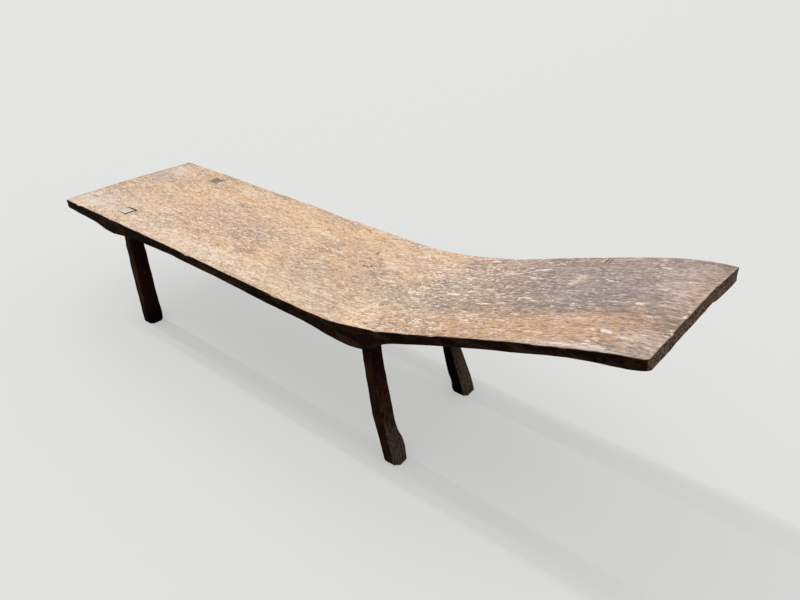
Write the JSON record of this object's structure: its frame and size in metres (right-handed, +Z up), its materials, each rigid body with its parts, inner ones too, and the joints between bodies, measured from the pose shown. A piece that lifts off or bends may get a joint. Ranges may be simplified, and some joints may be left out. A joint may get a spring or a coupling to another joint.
{
  "type": "staked plank daybed",
  "caption": "Low daybed hewn from one long wooden plank that bends up into a headrest, standing on staked hewn legs with wedged through tenons.",
  "frame": {"origin": "on the floor, under the middle of the plank's length and width", "axes": "+X along the plank towards the raised head end, +Y towards the back long side, +Z up"},
  "size_m": [2.2684, 0.572, 0.6964],
  "materials": {
    "slab_wood": "old hardwood, adze-hewn, bare, worn smooth and bleached on top, near black underneath",
    "leg_wood": "old hardwood, hewn in long facets, dark with handling and smoke, greyed towards the floor",
    "wedge_wood": "split wood, dry and bleached on its driven end"
  },
  "bodies": {
    "root": {"slab": "slab_wood", "foot_end_front_leg": "leg_wood", "foot_end_back_leg": "leg_wood", "head_end_front_leg": "leg_wood", "head_end_back_leg": "leg_wood", "front_tenon_wedge": "wedge_wood", "back_tenon_wedge": "wedge_wood"}
  },
  "joints": []
}
